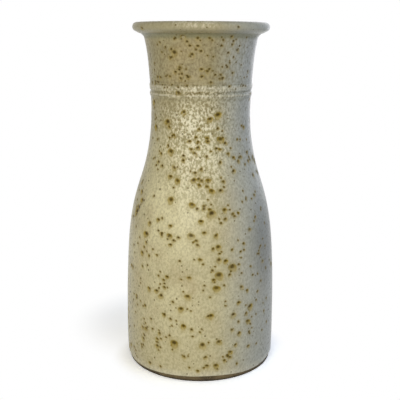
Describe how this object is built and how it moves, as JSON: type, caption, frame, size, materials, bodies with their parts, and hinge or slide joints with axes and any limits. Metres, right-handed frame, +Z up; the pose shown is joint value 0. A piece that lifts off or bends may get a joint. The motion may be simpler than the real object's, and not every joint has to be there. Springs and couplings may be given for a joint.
{
  "type": "bottle vase",
  "caption": "Thrown stoneware bottle vase with a full belly, a long shoulder, raised beads round the neck and a rolled lip, in a speckled satin glaze over a bare foot. Holds cut flowers.",
  "frame": {"origin": "centre of the foot, on the surface that the vase stands on", "axes": "+Z up along the axis that the vase was thrown on, -Y towards the side that the picture shows"},
  "size_m": [0.1122, 0.1122, 0.25],
  "materials": {
    "bare_stoneware": "unglazed, toasted brown, fine grit",
    "speckled_glaze": "satin buff glaze with iron-brown pits and specks",
    "liner_glaze": "plain satin liner glaze"
  },
  "bodies": {
    "root": {"stoneware_body": "bare_stoneware", "outer_glaze": "speckled_glaze", "liner_glaze": "liner_glaze"}
  },
  "joints": []
}
